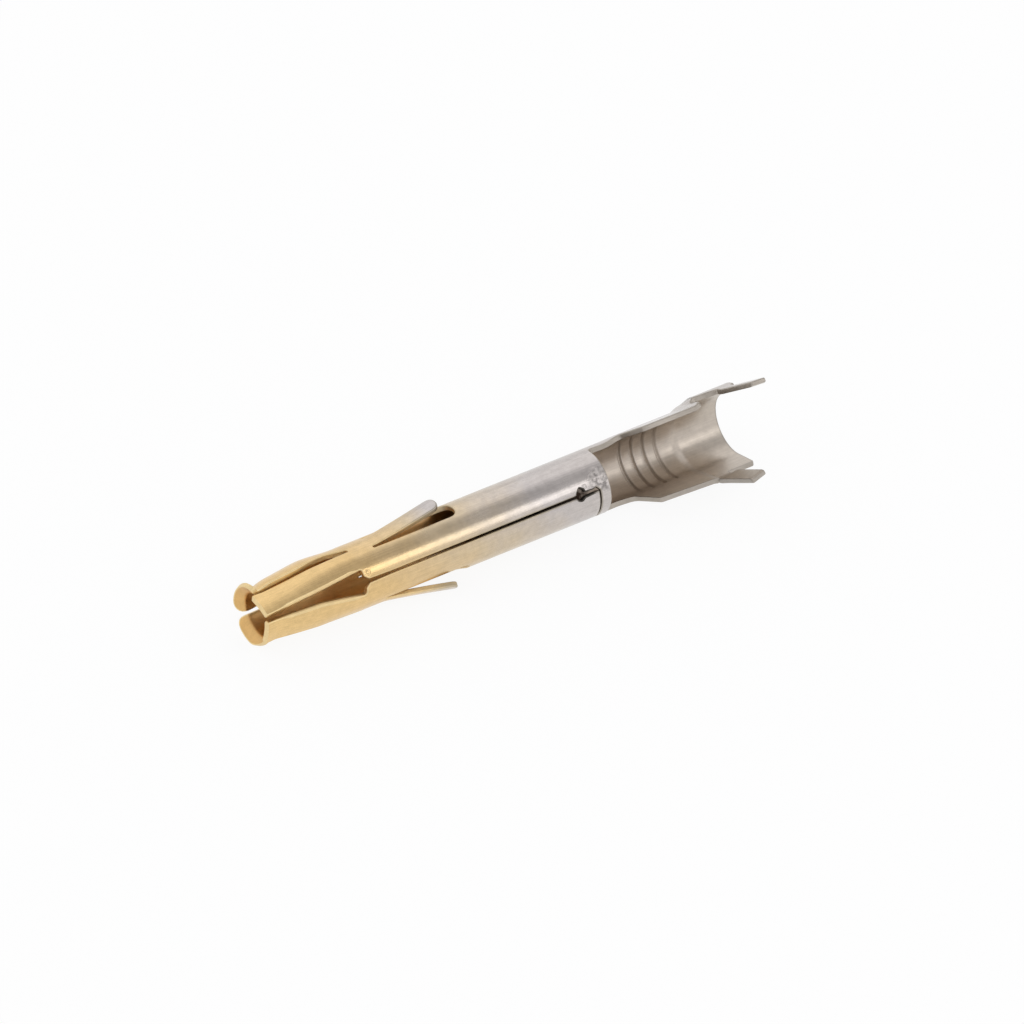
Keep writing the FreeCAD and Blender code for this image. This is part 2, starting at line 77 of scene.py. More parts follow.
tube_end = 14.7
tube_rear = Vector((tube_end, 0.0, 0.0))
tube_rear_in_picture = (593.2, 480.7)
target = (
    tube_rear
    - camera_right * ((tube_rear_in_picture[0] - image_width / 2) / pixels_per_mm)
    + camera_up * ((tube_rear_in_picture[1] - image_width / 2) / pixels_per_mm)
)
camera_data = bpy.data.cameras.new("camera")
camera_data.sensor_width = 36.0
camera_data.lens = camera_distance * pixels_per_mm / image_width * camera_data.sensor_width
camera_data.clip_start = 0.001
camera_data.clip_end = 10.0
camera = bpy.data.objects.new("camera", camera_data)
bpy.context.collection.objects.link(camera)
camera.location = (target + towards_camera * camera_distance) * MM
aim = camera.matrix_world.to_3x3()
aim.col[0], aim.col[1], aim.col[2] = camera_right, camera_up, towards_camera
camera.rotation_euler = aim.to_euler()
bpy.context.scene.camera = camera


# Contact: one strip of spring copper alloy, blanked flat by a die, coined and rolled up,
# with nothing fitted to it. Here too the flat blank comes first: a place on it is s, along
# the strip, and v, across it from the floor's middle line to the seam at both its edges.
# All its sizes are in millimetres and belong to the sheet's middle layer.
thick = 0.2
roll_radius = 1.15
half_blank = math.pi * roll_radius
tube_front = 3.8


def soft_step(value, low, high):
    """How far a value has come from low to high, 0 to 1, with soft ends."""
    share = np.clip((value - low) / (high - low), 0.0, 1.0)
    return share * share * (3.0 - 2.0 * share)


def rounded(points, closed=True):
    """A line through points (s, v, corner radius), its corners rounded and its runs divided."""
    longest_run = 0.08
    line = []
    for number, (s, v, radius) in enumerate(points):
        corner = np.array([s, v])
        if radius == 0.0:
            line.append(corner)
            continue
        before = np.array(points[number - 1][:2]) - corner
        after = np.array(points[(number + 1) % len(points)][:2]) - corner
        reach_before, reach_after = np.linalg.norm(before), np.linalg.norm(after)
        before, after = before / reach_before, after / reach_after
        half_corner = math.acos(np.clip(before @ after, -1.0, 1.0)) / 2
        trim = min(radius / math.tan(half_corner), 0.48 * reach_before, 0.48 * reach_after)
        for share in np.linspace(0.0, 1.0, 7):
            line.append(corner + before * trim * (1 - share) ** 2 + after * trim * share ** 2)
    divided = []
    for here, there in zip(line, line[1:] + line[:1] if closed else line[1:]):
        runs = math.ceil(np.linalg.norm(there - here) / longest_run)
        divided += [here + (there - here) * part / runs for part in range(runs)]
    return np.array(divided if closed else divided + [line[-1]])


# Spring fingers: four, slit apart from the mouth. They bow in to the grip, where the two
# narrow ones open a little and the two wide ones end in a lip that is rolled outwards.
# Each profile gives the place along the axis, the radius and the rounding of its bends,
# and its line is run on a little past the end, so that a slope can be taken there.
finger_side, narrow_centre = math.radians(110.0), math.radians(145.0)
narrow_flattening, narrow_tilt, far_fullness = 0.6, math.radians(15.0), 0.12
root, bow, run_on = (tube_front, roll_radius, 0.0), (1.9, 1.105, 6.0), 0.1
finger_lines = []
for profile in (
    [root, bow, (0.0, 0.9, 1.2), (-0.5, 0.93, 0.0)],
    [root, bow, (0.0, 0.9, 0.8), (-0.2, 0.9, 0.22), (-0.413, 1.283, 0.0)],
):
    finger_line = rounded(profile, closed=False)
    finger_steps = np.linalg.norm(np.diff(finger_line, axis=0), axis=1)
    finger_run = np.concatenate([[0.0], np.cumsum(finger_steps)])
    beyond = finger_line[-1] + (finger_line[-1] - finger_line[-2]) / finger_steps[-1] * run_on
    finger_lines.append((
        np.append(finger_run, finger_run[-1] + run_on) - tube_front,
        np.vstack([finger_line, beyond]),
    ))
(narrow_run, narrow_line), (wide_run, wide_line) = finger_lines
narrow_end, wide_end = run_on - narrow_run[-1], run_on - wide_run[-1]

# Retention lances: three tongues, cut free on three sides and bent out of the tube. The
# windows that they leave are a little longer. Angles are counted from the seam.
lance_root, lance_tip, window_end = 4.8, 7.82, 8.5
lance_lift, lance_curve = 0.55, 1.15
lance_angles = [math.radians(angle) for angle in (74.0, -74.0, 180.0)]

# Crimp barrels: the wall opens behind the tube into a channel, whose sides lean out. The
# wire barrel's floor is coined down a little and the insulation barrel's is wider, with a
# long narrow ear on each side, bent up straighter than the low wall that it grows from.
neck_end, wing_front, wing_end, step_end, wire_end = 16.1, 16.55, 19.08, 19.25, 21.02
wing_lean, insulation_lean = math.radians(9.0), math.radians(18.0)
coin_step, floor_step, low_wall = 0.02, 0.13, 0.76
wing_twist, rear_twist = math.radians(4.5), math.radians(2.5)
ear_stagger, ear_length = 1.0, 0.63
ear_start, ear_end, near_ear_lean, near_ear_turn = 2.744, 5.5, math.radians(1.0), -0.27
far_ear_start, far_ear_end, far_ear_lean, far_ear_turn = 2.5, 5.84, math.radians(5.6), -0.05
far_ear_inset, ear_bend = 0.12, 0.4


def across(angle, offset=0.0):
    """Place across the blank of a line at an angle from the seam, a little to its side."""
    turned = angle + math.asin(offset / (roll_radius + thick / 2))
    return roll_radius * ((math.pi - turned) if turned >= 0.0 else -(math.pi + turned))


def middle(s, v):
    """Where the points of the blank's middle layer lie on the formed contact."""
    angle = v / roll_radius
    narrow = np.abs(angle) > finger_side
    x, radius = (
        np.where(s > tube_front, on_tube, np.where(
            narrow,
            np.interp(-s, narrow_run, narrow_line[:, place]),
            np.interp(-s, wide_run, wide_line[:, place]),
        ))
        for place, on_tube in ((0, s), (1, roll_radius))
    )
    far_wide = (angle > 0.0) & ~narrow & (s < tube_front)
    fullness = far_fullness * soft_step(s, -0.5, 0.6) * soft_step(-s, -3.7, -2.0)
    radius = radius + np.where(far_wide, fullness, 0.0)
    y, z = radius * np.sin(angle), -radius * np.cos(angle)

    # The narrow fingers are flatter across at their ends than the tube is, and the far
    # one is tilted, so that its edge at the seam stands out
    finger_middle = np.sign(angle) * narrow_centre
    flat_radius = radius / (1.0 - narrow_flattening * soft_step(-s, -3.4, 0.2))
    aside = radius * (angle - finger_middle) / flat_radius
    out = flat_radius * np.cos(aside) - flat_radius + radius
    over = flat_radius * np.sin(aside)
    tilt = np.where(angle > 0.0, narrow_tilt, 0.0) * soft_step(-s, -3.4, -0.5)
    out, over = (
        radius + (out - radius) * np.cos(tilt) + over * np.sin(tilt),
        over * np.cos(tilt) - (out - radius) * np.sin(tilt),
    )
    flattened = narrow & (s < tube_front)
    y = np.where(flattened, out * np.sin(finger_middle) + over * np.cos(finger_middle), y)
    z = np.where(flattened, over * np.sin(finger_middle) - out * np.cos(finger_middle), z)

    # Each lance rises from its root to its tip
    for lance_angle in lance_angles:
        in_window = (s > lance_root) & (s < lance_tip + 0.1)
        on_lance = in_window & (np.abs(v - across(lance_angle)) < 0.4)
        rise = np.clip((s - lance_root) / (lance_tip - lance_root), 0.0, 2.0) ** lance_curve
        lift = np.where(on_lance, lance_lift * rise, 0.0)
        y, z = y + lift * math.sin(lance_angle), z + lift * math.cos(lance_angle)

    # The channel: a round floor, whose sides run on straight
    side, run = np.sign(v), np.abs(v)
    at_rear = soft_step(s, wing_end, step_end)
    lean = wing_lean + (insulation_lean - wing_lean) * at_rear
    floor_radius = (
        roll_radius + coin_step * soft_step(s, tube_end, neck_end)
        + floor_step * soft_step(s, 18.72, 19.2)
    )
    floor_run = floor_radius * (math.pi / 2 - lean)
    floor_angle = np.minimum(run, floor_run) / floor_radius
    straight = np.maximum(run - floor_run, 0.0)
    channel_y = floor_radius * np.sin(floor_angle) + straight * np.sin(lean)
    channel_z = straight * np.cos(lean) - floor_radius * np.cos(floor_angle)

    # Both ears are bent up at their root and turned a little about their own length
    on_ear = s > step_end - 0.01
    ear_lean = np.where(side < 0, near_ear_lean, far_ear_lean)
    ear_foot = np.where(side < 0, ear_start, far_ear_start)
    reach = np.where(on_ear, np.maximum(run - ear_foot, 0.0), 0.0)
    bent = np.minimum(reach, ear_bend) ** 2 / (2 * ear_bend) + np.maximum(reach - ear_bend, 0.0)
    near_shift = near_ear_turn * (s - step_end)
    far_shift = far_ear_turn * (s - step_end - ear_stagger) - far_ear_inset
    turned = np.where(side < 0, near_shift, far_shift) * soft_step(reach, 0.0, 0.9)
    channel_y = channel_y + (np.sin(ear_lean) - np.sin(lean)) * bent + turned
    channel_z = channel_z + (np.cos(ear_lean) - np.cos(lean)) * bent

    opened = soft_step(s, 15.3, 16.2)
    y = y + (side * channel_y - y) * opened
    z = z + (channel_z - z) * opened
    twist = -(wing_twist * soft_step(s, 15.2, 16.4) + rear_twist * at_rear)
    return np.stack([
        x,
        y * np.cos(twist) - z * np.sin(twist),
        y * np.sin(twist) + z * np.cos(twist),
    ], axis=-1)


def pressed(s, v):
    """How far the four grooves are pressed into the wire barrel's floor, with raised lips."""
    first_groove, groove_pitch, groove_half_width = 16.56, 0.52, 0.05
    lip_height, lip_place, lip_width = 0.16, 0.1, 0.035
    depth = np.zeros_like(s)
    for number, deepest in enumerate((0.1, 0.125, 0.125, 0.09)):
        aside = s - (first_groove + groove_pitch * number)
        groove = np.exp(-(aside / groove_half_width) ** 4)
        lips = lip_height * np.exp(-((np.abs(aside) - lip_place) / lip_width) ** 2)
        depth += deepest * (groove - lips)
    return depth * soft_step(-np.abs(v), -1.85, -1.65)


def struck(s, v):
    """How far the tube's outside stands up or is marked where the seam's ends were struck."""
    lump_height, ring_depth, ring_width = 0.015, 0.016, 0.026
    outer_stretch = 1.09
    aside = np.sign(v) * (half_blank - np.abs(v)) * outer_stretch
    lump = soft_step(s, 14.0, 14.15) * soft_step(-s, -14.68, -14.55)
    lump *= soft_step(aside, 0.0, 0.14) * soft_step(-aside, -0.86, -0.66)
    ridges = 0.55 + 0.3 * np.sin(17.0 * aside - 7.0 * s) + 0.25 * np.sin(19.0 * s + 9.0 * aside)
    height = lump_height * lump * ridges
    for ring_s, ring_aside, ring_radius in (
        (13.44, -0.37, 0.085), (14.0, -0.45, 0.06), (13.62, 0.26, 0.07),
        (4.0, 0.32, 0.09), (4.05, -0.36, 0.08),
    ):
        reach = np.hypot(s - ring_s, aside - ring_aside)
        height -= ring_depth * np.exp(-((reach - ring_radius) / ring_width) ** 2)
    return height


def directions(s, v, depth, reach=0.02):
    """The sheet's slopes along s and across v, and its outward normal, at a depth."""
    along = formed(s + reach, v, depth) - formed(s - reach, v, depth)
    over = formed(s, v + reach, depth) - formed(s, v - reach, depth)
    outward = np.cross(over, along)
    return along, over, outward / np.linalg.norm(outward, axis=-1, keepdims=True)


def formed(s, v, depth):
    """The points of the formed sheet at a depth from its middle layer, outwards positive.

    The ears' ends are chamfered, the grooves pressed into the inner face and the seam's
    ends struck on the outer one.
    """
    tiny = 0.001
    outward = np.cross(
        middle(s, v + tiny) - middle(s, v - tiny), middle(s + tiny, v) - middle(s - tiny, v)
    )
    outward /= np.linalg.norm(outward, axis=-1, keepdims=True)
    chamfer_share, chamfer_length = 0.5, 0.16
    ear_top = np.where(v < 0, ear_end, far_ear_end)
    past = np.clip((np.abs(v) - ear_top + chamfer_length) / chamfer_length, 0.0, 1.0)
    chamfer = chamfer_share * past * (s > step_end - 0.1)
    depth = np.where(depth < 0.0, depth * (1.0 - chamfer), depth)
    depth = depth + np.where(depth < -0.095, pressed(s, v), 0.0)
    depth = depth + np.where((depth > 0.06) & (s < tube_end + 0.05), struck(s, v), 0.0)
    return middle(s, v) + outward * depth[..., None]


def wall_top(s, side, height):
    """Place across the blank where the formed wall reaches a height above the axis."""
    low, high = 1.0, ear_end
    for _ in range(30):
        half = (low + high) / 2
        reached = middle(np.array([s]), np.array([side * half]))[0, 2]
        low, high = (half, high) if reached < height else (low, half)
    return side * low


# Outline of the blank. It runs from the seam's front on the far side round the fingers
# to the near side, then along the seam and round the crimp barrels, and comes back by
# the tab that is wrapped over the seam's end. A corner is (s, v, radius).
slot_far, slot_near, slot_back = math.radians(70.0), math.radians(-70.0), math.pi
tab_edge = roll_radius * math.radians(76.0)
neck_wall, wing_front_height, wing_rear_height = 0.16, 1.36, 1.48
outline = [
    # The far narrow finger, and the leaf-shaped slot beside it
    (tube_front, across(0.0, 0.49), 0.07),
    (narrow_end, across(0.0, 0.05), 0.12),
    (narrow_end, across(slot_far, -0.06), 0.14),
    (tube_front, across(slot_far, -0.08), 0.07),
    (tube_front, across(slot_far, 0.05), 0.07),
    (3.0, across(slot_far, 0.26), 0.8),
    (1.7, across(slot_far, 0.045), 1.5),
    # The far wide finger, the slot at the back and the near wide finger
    (wide_end + 0.1, across(slot_far, 0.06), 0.3),
    (wide_end, across(slot_far, 0.5), 0.5),
    (wide_end, across(slot_back, -0.09), 0.5),
    (tube_front, across(slot_back, -0.08), 0.06),
    (tube_front, across(slot_back, 0.08), 0.06),
    (wide_end, across(slot_back, 0.09), 0.5),
    (wide_end, across(slot_near, -0.92), 0.8),
    (wide_end + 0.3, across(slot_near, -0.06), 0.35),
    (tube_front, across(slot_near, -0.08), 0.06),
    (tube_front, across(slot_near, 0.08), 0.06),
    # The near narrow finger and the near side of the seam, with its relief
    (narrow_end, across(slot_near, 0.06), 0.12),
    (narrow_end, across(0.0, -0.05), 0.12),
    (1.9, across(0.0, -0.14), 3.0),
    (tube_front - 0.02, across(0.0, -0.49), 0.12),
    (tube_front + 0.02, across(0.0, -0.22), 0.12),
    (tube_front + 0.2, across(0.0, -0.07), 0.1),
    (4.9, across(0.0, -0.045), 0.0),
    (13.2, across(0.0, -0.045), 0.0),
    (13.27, across(0.0, -0.15), 0.06),
    (13.42, across(0.0, -0.2), 0.08),
    (13.56, across(0.0, -0.1), 0.06),
    # The step that the tab fits into
    (14.2, across(0.0, -0.06), 0.06),
    (14.2, tab_edge - half_blank, 0.06),
    (tube_end, tab_edge - half_blank, 0.06),
    (tube_end, wall_top(tube_end, -1, neck_wall), 0.15),
]
for side in (-1, 1):
    ear_front = step_end + (0.0 if side < 0 else ear_stagger)
    ear_rear = ear_front + ear_length
    ear_tip = ear_end if side < 0 else far_ear_end
    wall = [
        (neck_end, wall_top(neck_end, side, neck_wall), 0.3),
        (wing_front, wall_top(wing_front, side, wing_front_height), 0.14),
        (wing_end, wall_top(wing_end, side, wing_rear_height), 0.14),
        (wing_end + 0.02, wall_top(wing_end + 0.05, side, low_wall), 0.06),
        (ear_front, wall_top(ear_front, side, low_wall), 0.06),
        (ear_front, side * ear_tip, 0.08),
        (ear_rear, side * ear_tip, 0.08),
        (ear_rear, wall_top(ear_rear, side, low_wall), 0.06),
        (wire_end, wall_top(wire_end, side, low_wall), 0.1),
    ]
    outline += wall if side < 0 else wall[::-1]
outline += [
    # The tab, then the far side of the seam with its relief
    (tube_end, wall_top(tube_end, 1, neck_wall), 0.15),
    (tube_end, half_blank + tab_edge - 0.05, 0.06),
    (14.25, half_blank + tab_edge - 0.05, 0.06),
    (14.25, half_blank + 0.06, 0.05),
    (14.1, across(0.0, 0.1), 0.05),
    (13.95, across(0.0, 0.05), 0.0),
    (13.6, across(0.0, 0.07), 0.04),
    (13.55, across(0.0, 0.2), 0.06),
    (13.4, across(0.0, 0.3), 0.05),
    (13.27, across(0.0, 0.16), 0.06),
    (13.2, across(0.0, 0.045), 0.0),
    (4.9, across(0.0, 0.045), 0.0),
    (tube_front + 0.2, across(0.0, 0.07), 0.1),
    (tube_front + 0.02, across(0.0, 0.22), 0.12),
]
loops = [rounded(outline)]
for lance_angle in lance_angles:
    root_width = 0.42 if lance_angle == math.pi else 0.36
    (window_low, window_high), (root_low, root_high), (tip_low, tip_high) = (
        (across(lance_angle, half), across(lance_angle, -half)) for half in (0.45, root_width, 0.38)
    )
    slit_start = lance_root - 0.05
    loops.append(rounded([
        (slit_start, window_low, 0.05),
        (window_end, window_low, 0.36),
        (window_end, window_high, 0.36),
        (slit_start, window_high, 0.05),
        (slit_start, root_high, 0.04),
        (lance_tip, tip_high, 0.33),
        (lance_tip, tip_low, 0.33),
        (slit_start, root_low, 0.04),
    ]))


# The blank becomes a mesh: both faces share one net of triangles, and a rim with rounded
# edges joins them, rounder on the outer face, where the die pulled the metal in. The net
# ends at rings that lie within the outline by the radius of that rounding.
def inside(points):
    """Whether points of the plane lie within the blank's rings, clear of its holes."""
    crossings = np.zeros(len(points), int)
    for ring in rings:
        for (s0, v0), (s1, v1) in zip(ring, np.roll(ring, -1, axis=0)):
            if v0 == v1:
                continue
            spans = (points[:, 1] > v0) != (points[:, 1] > v1)
            place = s0 + (points[:, 1] - v0) * (s1 - s0) / (v1 - v0)
            crossings += spans & (points[:, 0] < place)
    return crossings % 2 == 1


rings, inward_lines, edge_rounds = [], [], []
for number, loop in enumerate(loops):
    area = np.sum(loop[:, 0] * np.roll(loop[:, 1], -1) - loop[:, 1] * np.roll(loop[:, 0], -1))
    if (area > 0.0) != (number == 0):
        loop = loops[number] = loop[::-1].copy()
    step = np.roll(loop, -1, axis=0) - loop
    step /= np.linalg.norm(step, axis=1, keepdims=True)
    left = np.stack([-step[:, 1], step[:, 0]], axis=1)
    inward = left + np.roll(left, 1, axis=0)
    inward /= np.maximum(np.sum(inward * left, axis=1, keepdims=True), 0.6)
    inward_lines.append(inward)
    beside_slit = soft_step(loop[:, 0], 0.1, 0.6) * soft_step(-loop[:, 0], -3.7, -3.3)
    edge_round = 0.05 + 0.08 * beside_slit * (np.abs(loop[:, 1]) > half_blank - 0.62)
    edge_rounds.append(edge_round)
    rings.append(loop + inward * edge_round[:, None])

# The net is finer lengthwise in the grooves and all round the struck ends of the seam
coarse, groove_step, struck_step = 0.1, 0.03, 0.035
net_s = np.concatenate([
    np.arange(wide_end, 16.2, coarse),
    np.arange(16.2, 18.45, groove_step),
    np.arange(18.45, wire_end, coarse),
])
net_v = np.arange(-ear_end, far_ear_end, coarse)
net = np.array([
    (s, v + coarse / 2 * (number % 2)) for number, s in enumerate(net_s) for v in net_v
])
struck_s = [np.arange(tube_front, 4.3, struck_step), np.arange(13.25, 14.68, struck_step)]
struck_net = [
    (s, side * v)
    for s in np.concatenate(struck_s)
    for v in np.arange(half_blank - 0.85, half_blank - 0.04, struck_step)
    for side in (-1, 1)
]
net_places = net[:, 0]
unstruck = (
    (net_places < 3.77) | ((net_places > 4.32) & (net_places < 13.2)) | (net_places > tube_end)
    | (np.abs(net[:, 1]) < half_blank - 0.9)
)
net = np.concatenate([net[unstruck], struck_net])
net = net[inside(net)]
nearest_shore = 0.03
shore = KDTree(sum(len(ring) for ring in rings))
for number, (s, v) in enumerate(np.concatenate(rings)):
    shore.insert((s, v, 0.0), number)
shore.balance()
net = np.array([
    point for point in net if shore.find((point[0], point[1], 0.0))[2] > nearest_shore
])

ring_edges, ring_starts = [], []
start = 0
for ring in rings:
    ring_starts.append(start)
    ring_edges += [(start + i, start + (i + 1) % len(ring)) for i in range(len(ring))]
    start += len(ring)
flat_points, _, triangles, came_from, _, _ = delaunay_2d_cdt(
    [Vector(point) for point in np.concatenate([*rings, net])], ring_edges, [], 0, 1e-7,
)
flat_points = np.array([tuple(point) for point in flat_points])
triangles = np.array([tuple(triangle) for triangle in triangles])
triangles = triangles[inside(flat_points[triangles].mean(axis=1))]
edge_a = flat_points[triangles[:, 1]] - flat_points[triangles[:, 0]]
edge_b = flat_points[triangles[:, 2]] - flat_points[triangles[:, 0]]
backwards = edge_a[:, 0] * edge_b[:, 1] < edge_a[:, 1] * edge_b[:, 0]
triangles[backwards] = triangles[backwards][:, ::-1]
now_at = {first: number for number, sources in enumerate(came_from) for first in sources}

points, normals, faces, rim_faces = [], [], [], []
net_size = len(flat_points)
s, v = flat_points.T
for depth, facing in ((thick / 2, 1.0), (-thick / 2, -1.0)):
    level = np.full(net_size, depth)
    points.append(formed(s, v, level))
    normals.append(directions(s, v, level)[2] * facing)
faces += [tuple(triangle[::-1]) for triangle in triangles]
faces += [tuple(triangle + net_size) for triangle in triangles]
vertex_count = 2 * net_size
inner_round = 0.018
for loop, inward, ring_start, outer_round in zip(loops, inward_lines, ring_starts, edge_rounds):
    size = len(loop)
    rows = [[now_at[ring_start + i] for i in range(size)]]
    rim_rows = [
        (outer_round * (1 - math.sin(bend)), thick / 2 - outer_round * (1 - math.cos(bend)), bend)
        for bend in (math.radians(30), math.radians(60), math.radians(90))
    ] + [
        (inner_round * (1 - math.sin(bend)), inner_round * (1 + math.cos(bend)) - thick / 2, bend)
        for bend in (math.radians(90), math.radians(135), math.radians(179))
    ]
    for inset, depth, bend in rim_rows:
        s, v = (loop + inward * (np.ones(size) * inset)[:, None]).T
        level = np.ones(size) * depth
        along, over, outward = directions(s, v, level)
        away = -(along * inward[:, :1] + over * inward[:, 1:])
        away /= np.linalg.norm(away, axis=1, keepdims=True)
        points.append(formed(s, v, level))
        normals.append(outward * math.cos(bend) + away * math.sin(bend))
        rows.append(list(range(vertex_count, vertex_count + size)))
        vertex_count += size
    rows.append([net_size + corner for corner in rows[0]])
    for upper, lower in zip(rows, rows[1:]):
        for i in range(size):
            following = (i + 1) % size
            rim_faces.append((upper[i], upper[following], lower[following], lower[i]))

# The formed contact is rolled over to where it comes to rest
points, normals = np.concatenate(points), np.concatenate(normals)
roll = np.array([
    [1.0, 0.0, 0.0],
    [0.0, math.cos(rest_roll), math.sin(rest_roll)],
    [0.0, -math.sin(rest_roll), math.cos(rest_roll)],
])
contact_mesh = bpy.data.meshes.new("socket_contact_sheet")
contact_mesh.from_pydata((points @ roll * MM).tolist(), [], faces + rim_faces)
contact_mesh.polygons.foreach_set("use_smooth", [True] * len(contact_mesh.polygons))
contact_mesh.normals_split_custom_set_from_vertices((normals @ roll).tolist())
contact = bpy.data.objects.new("socket_contact_sheet", contact_mesh)
bpy.context.collection.objects.link(contact)
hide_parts("socket_contact")
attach(contact, "root")


# Plating: hard gold on the mating end, which gives way to satin tin at the crimp end along
# a slanting line, since the strip was dipped. The colours run from the mouth to the rear.
def linear(colour):
    """An sRGB hex colour as the linear one that a shader takes."""
    channels = [int(colour[at:at + 2], 16) / 255 for at in (1, 3, 5)]
    return [c / 12.92 if c <= 0.04045 else ((c + 0.055) / 1.055) ** 2.4 for c in channels] + [1.0]


def add_node(owner, kind, inputs=(), **settings):
    """A shader node with its settings. An input takes a value, or (node, output) as a link."""
    node = owner.node_tree.nodes.new(kind)
    for name, value in settings.items():
        setattr(node, name, value)
    for entry, source in dict(inputs).items():
        if isinstance(source, tuple):
            owner.node_tree.links.new(source[0].outputs[source[1]], node.inputs[entry])
        else:
            node.inputs[entry].default_value = source
    return node


outer_stops = (
    (0.0, "#E8C68B"), (0.24, "#E2C18B"), (0.44, "#D2BFA1"), (0.62, "#C6BFBB"), (1.0, "#C8C1BC"),
)
edge_stops = (
    (0.0, "#F0D6A0"), (0.3, "#E6CA98"), (0.5, "#C4B69C"), (0.64, "#AEA69B"), (1.0, "#B0A89E"),
)
# The bore's colours hold a painted shade: from about 9 mm along the tube they darken, and from
# about 12 to 14.4 mm, inside the tube's rear, they are near black, before the tin of the crimp
# barrels.
bore_stops_with_painted_shade = (
    (0.0, "#DDB476"), (0.15, "#F6CE90"), (0.42, "#DDB478"), (0.58, "#3E322B"), (0.685, "#3E322B"),
    (0.7, "#C2B6AA"), (1.0, "#C6BCB0"),
)
# Each rate is to the millimetre: the share of the fade's run, or the pattern's repeats.
# The two places are where a tool struck the seam's end, and the relief beside it. Around
# them the metal is rougher and dented, and painted shade darkens it: mottled with a little
# painted highlight on the struck outside, and nearly black on the rims in the relief.
fade_rate, fade_wander, blotch_rate, stain_rate, dent_rate = 0.0476, 0.12, 0.9, 3.5, 7.0
line_rate, line_stretch, grain_rate = 20.0, 0.6, 16.0
strike_at = [14.33 * MM, -0.8 * MM, 0.95 * MM]
relief_at = [13.6 * MM, -0.92 * MM, 0.69 * MM]
